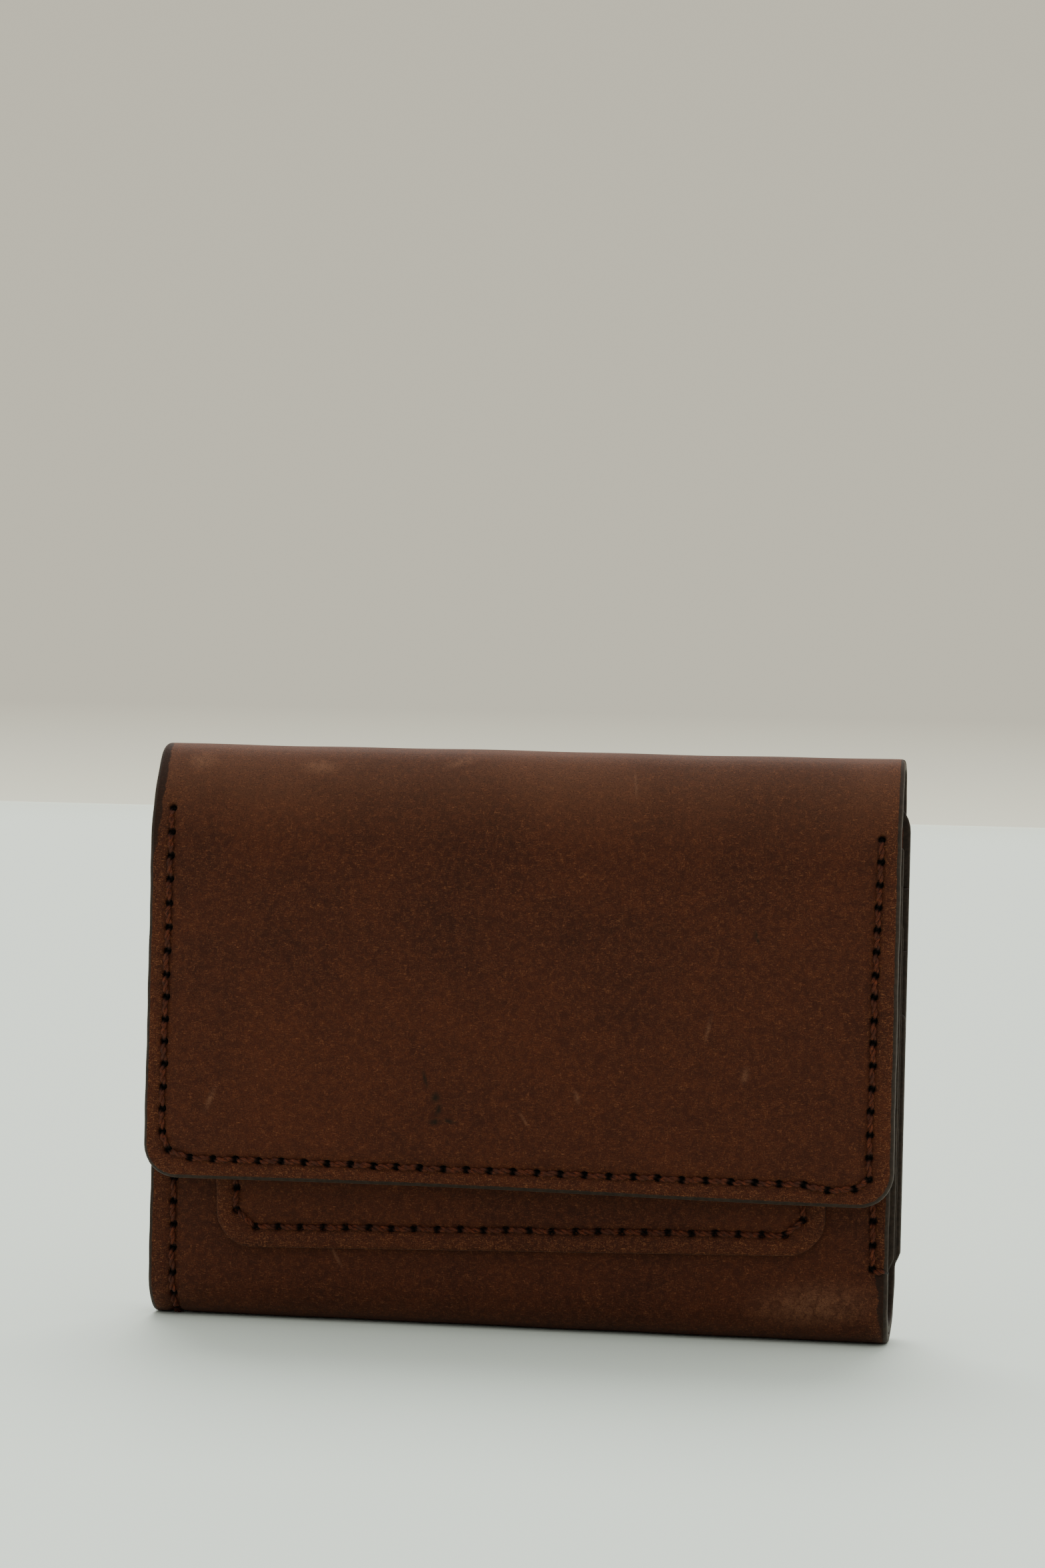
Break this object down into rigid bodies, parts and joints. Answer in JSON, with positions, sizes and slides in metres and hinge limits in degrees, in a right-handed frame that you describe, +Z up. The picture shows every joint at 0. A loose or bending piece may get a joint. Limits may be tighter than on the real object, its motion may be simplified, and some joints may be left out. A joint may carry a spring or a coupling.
{
  "type": "trifold wallet",
  "caption": "Small brown leather wallet that folds in three: a stitched flap folds over a front panel with a sewn patch pocket, with card slots and a note compartment inside.",
  "frame": {"origin": "middle of the base, with the closed wallet standing on its bottom fold", "axes": "+X across the wallet, to the right as seen from the flap side; +Y from the front, where the flap is, to the back; +Z up"},
  "size_m": [0.1083, 0.018, 0.0835],
  "materials": {
    "outer_leather": "matt waxed nubuck",
    "patch_leather": "matt waxed nubuck",
    "lining_leather": "smooth, low sheen",
    "pocket_leather": "smooth, low sheen",
    "thread": "waxed polyester thread",
    "magnet": "nickel plated"
  },
  "bodies": {
    "back": {"back_outer_leather": "outer_leather", "back_lining": "lining_leather", "card_slot_upper": "pocket_leather", "card_slot_middle": "pocket_leather", "card_slot_lower": "pocket_leather", "card_slot_thread": "thread", "back_thread_left": "thread", "back_thread_right": "thread"},
    "top_fold": {"top_fold_leather": "outer_leather"},
    "flap": {"flap_outer_leather": "outer_leather", "flap_lining": "lining_leather", "flap_magnet": "magnet", "flap_thread": "thread"},
    "bottom_fold": {"bottom_fold_leather": "outer_leather", "bottom_fold_lining": "lining_leather", "bottom_fold_thread": "thread"},
    "front": {"front_outer_leather": "outer_leather", "front_lining": "lining_leather", "front_inner_pocket": "pocket_leather", "patch_pocket": "patch_leather", "patch_thread": "thread", "front_magnet": "magnet", "front_thread_left": "thread", "front_thread_right": "thread"}
  },
  "joints": [
    {"name": "top_fold_bend", "type": "hinge", "parent": "back", "child": "top_fold", "pos_m": [0, 0.00686, 0.08136], "axis": [-1, 0, 0], "range_deg": [0, 90]},
    {"name": "flap_open", "type": "hinge", "parent": "top_fold", "child": "flap", "pos_m": [0, -0.00283, 0.08158], "axis": [-1, 0, 0], "range_deg": [0, 90]},
    {"name": "bottom_fold_bend", "type": "hinge", "parent": "back", "child": "bottom_fold", "pos_m": [0, 0.00654, 0.00246], "axis": [1, 0, 0], "range_deg": [0, 15]},
    {"name": "front_open", "type": "hinge", "parent": "bottom_fold", "child": "front", "pos_m": [0, -0.00244, 0.00246], "axis": [1, 0, 0], "range_deg": [0, 15]}
  ],
  "couplings": [
    {"joint": "top_fold_bend", "follows": "flap_open", "ratio": 1},
    {"joint": "bottom_fold_bend", "follows": "flap_open", "ratio": 0.16667},
    {"joint": "front_open", "follows": "flap_open", "ratio": 0.16667}
  ]
}
